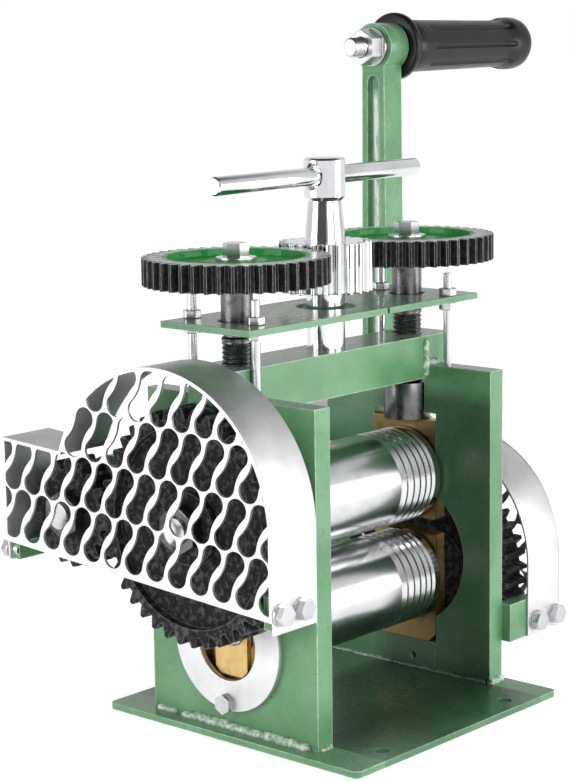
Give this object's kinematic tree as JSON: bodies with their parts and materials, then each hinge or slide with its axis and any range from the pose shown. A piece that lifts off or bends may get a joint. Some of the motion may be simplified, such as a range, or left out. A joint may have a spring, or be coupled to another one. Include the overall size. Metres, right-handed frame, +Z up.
{
  "type": "jewellers rolling mill",
  "caption": "Hand cranked jewellers rolling mill: geared rolls with wire grooves in a welded steel frame, tee handled screw adjustment and perforated gear guards.",
  "frame": {"origin": "underside of the base plate, straight below the middle of the rolls", "axes": "+X along the rolls towards the crank arm, +Y from the feeding side towards the crank shaft, +Z up"},
  "size_m": [0.354, 0.1834, 0.3135],
  "materials": {
    "green_paint": "semi-gloss enamel",
    "stainless": "bright brushed sheet",
    "zinc": "zinc plated",
    "bronze": "machined and oxidised",
    "dark_steel": "blackened",
    "black_iron": "black oxide over a cast surface",
    "painted_gear": "green enamel on the web, black teeth",
    "chrome": "polished",
    "polished_roll": "ground and polished",
    "shaft_steel": "machined",
    "rubber": "moulded, semi-matt"
  },
  "bodies": {
    "frame": {"base_plate": "green_paint", "left_side_plate": "green_paint", "right_side_plate": "green_paint", "slot_filler_blocks": "green_paint", "cross_beam": "green_paint", "top_plate": "green_paint", "support_rods": "zinc", "rod_nuts": "zinc", "left_guard_face": "stainless", "left_guard_rim": "stainless", "left_guard_brackets": "green_paint", "right_guard_face": "stainless", "right_guard_rim": "stainless", "right_guard_brackets": "green_paint", "guard_bolts": "zinc", "retaining_ring": "stainless", "ring_bolts": "zinc", "lower_left_bearing": "bronze", "lower_right_bearing": "bronze", "lower_thrust_washers": "bronze", "shaft_tube": "green_paint", "shaft_bushes": "bronze", "idler_bolt": "shaft_steel"},
    "carriage": {"upper_left_bearing": "bronze", "upper_right_bearing": "bronze", "screw_collars": "dark_steel"},
    "floating_washers": {"upper_thrust_washers": "bronze"},
    "left_screw": {"left_adjusting_screw": "dark_steel", "left_adjusting_gear": "painted_gear", "left_gear_bolt": "zinc"},
    "right_screw": {"right_adjusting_screw": "dark_steel", "right_adjusting_gear": "painted_gear", "right_gear_bolt": "zinc"},
    "tee_handle": {"spindle": "chrome", "spindle_pinion": "chrome", "tee_bar": "chrome"},
    "top_roll": {"upper_roll": "polished_roll", "upper_drive_gear": "black_iron", "upper_gear_nut": "dark_steel"},
    "bottom_roll": {"lower_roll": "polished_roll", "lower_drive_gear": "black_iron", "lower_gear_nut": "dark_steel"},
    "idler": {"idler_gear": "black_iron"},
    "crank": {"crank_shaft": "shaft_steel", "left_crank_pinion": "black_iron", "right_crank_pinion": "black_iron", "crank_spacer": "shaft_steel", "crank_arm": "green_paint", "crank_nuts": "dark_steel", "grip_bolt": "shaft_steel", "grip_nut": "zinc"},
    "grip": {"grip_sleeve": "shaft_steel", "hand_grip": "rubber"}
  },
  "joints": [
    {"name": "tee_turn", "type": "hinge", "parent": "frame", "child": "tee_handle", "pos_m": [0, 0, 0.18], "axis": [0, 0, 1], "range_deg": [-728, 1514]},
    {"name": "roll_lift", "type": "slide", "parent": "frame", "child": "carriage", "axis": [0, 0, 1], "range_m": [-0.00417, 0.002]},
    {"name": "left_screw_turn", "type": "hinge", "parent": "carriage", "child": "left_screw", "pos_m": [-0.0585, 0, 0.15], "axis": [0, 0, 1], "range_deg": [-756, 366]},
    {"name": "right_screw_turn", "type": "hinge", "parent": "carriage", "child": "right_screw", "pos_m": [0.0585, 0, 0.15], "axis": [0, 0, 1], "range_deg": [-756, 366]},
    {"name": "washer_turn", "type": "hinge", "parent": "carriage", "child": "floating_washers", "pos_m": [0, 0, 0.098], "axis": [1, 0, 0], "range_deg": [-3, 5.5]},
    {"name": "crank_turn", "type": "hinge", "parent": "frame", "child": "crank", "pos_m": [0, 0.07242, 0.0945], "axis": [1, 0, 0], "continuous": true},
    {"name": "top_roll_turn", "type": "hinge", "parent": "floating_washers", "child": "top_roll", "pos_m": [0, 0, 0.098], "axis": [1, 0, 0], "continuous": true},
    {"name": "bottom_roll_turn", "type": "hinge", "parent": "frame", "child": "bottom_roll", "pos_m": [0, 0, 0.0489], "axis": [1, 0, 0], "continuous": true},
    {"name": "idler_turn", "type": "hinge", "parent": "frame", "child": "idler", "pos_m": [0.0845, 0.04642, 0.07813], "axis": [1, 0, 0], "continuous": true},
    {"name": "grip_spin", "type": "hinge", "parent": "crank", "child": "grip", "pos_m": [0.19, 0.07242, 0.2965], "axis": [1, 0, 0], "continuous": true}
  ],
  "couplings": [
    {"joint": "tee_turn", "follows": "roll_lift", "rad_per_m": -6283.2},
    {"joint": "left_screw_turn", "follows": "roll_lift", "rad_per_m": 3141.6},
    {"joint": "right_screw_turn", "follows": "roll_lift", "rad_per_m": 3141.6},
    {"joint": "washer_turn", "follows": "roll_lift", "rad_per_m": -20},
    {"joint": "top_roll_turn", "follows": "crank_turn", "ratio": -0.45},
    {"joint": "bottom_roll_turn", "follows": "crank_turn", "ratio": 0.45},
    {"joint": "idler_turn", "follows": "crank_turn", "ratio": -1.8}
  ]
}
